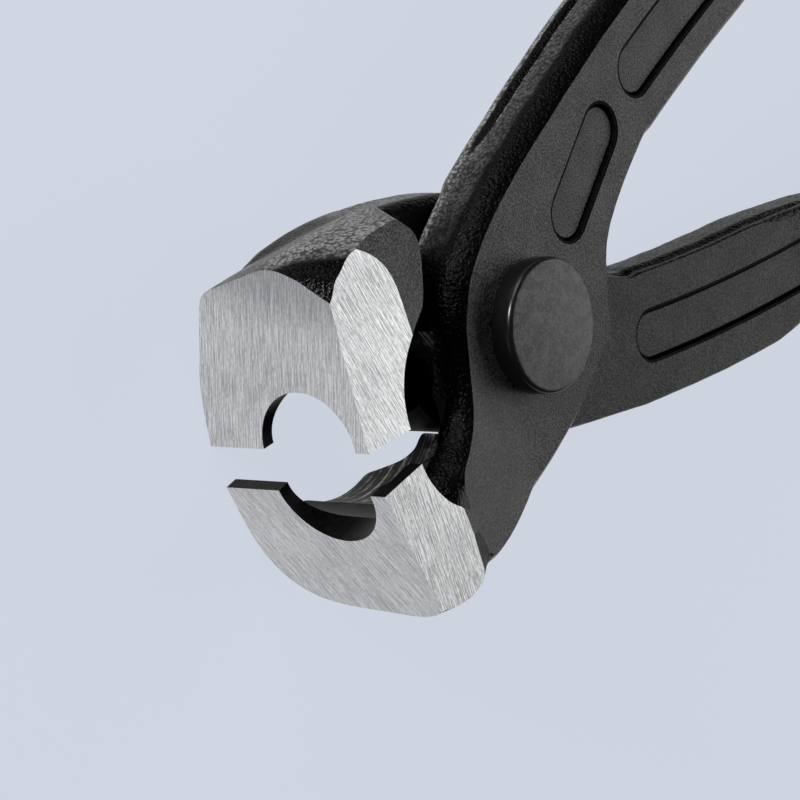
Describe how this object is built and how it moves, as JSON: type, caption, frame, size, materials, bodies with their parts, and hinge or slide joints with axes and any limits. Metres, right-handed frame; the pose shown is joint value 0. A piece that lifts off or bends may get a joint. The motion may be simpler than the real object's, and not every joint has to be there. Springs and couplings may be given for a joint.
{
  "type": "ear clamp pliers",
  "caption": "Steel pliers with notched front jaws and flat side jaws for crimping ear clamps, two forged levers crossing on a rivet, with dipped handle grips.",
  "frame": {"origin": "centre of the rivet's lower end face", "axes": "+Z along the rivet's axis from its lower end to its head, +X from the jaws to the handles, +Y from the lower jaw to the upper jaw"},
  "size_m": [0.2203, 0.089, 0.0249],
  "materials": {
    "forged_black": "black forged steel, satin, with ground jaw faces",
    "rivet_black": "black steel, satin",
    "grip_plastic": "dipped plastic, matte"
  },
  "bodies": {
    "upper_jaw_side": {"upper_jaw_lever": "forged_black", "pivot_rivet": "rivet_black", "upper_jaw_lever_grip": "grip_plastic"},
    "lower_jaw_side": {"lower_jaw_lever": "forged_black", "lower_jaw_lever_grip": "grip_plastic"}
  },
  "joints": [
    {"name": "rivet_hinge", "type": "hinge", "parent": "upper_jaw_side", "child": "lower_jaw_side", "pos_m": [0, 0, 0.0113], "axis": [0, 0, 1], "range_deg": [-8.2, 25]}
  ]
}
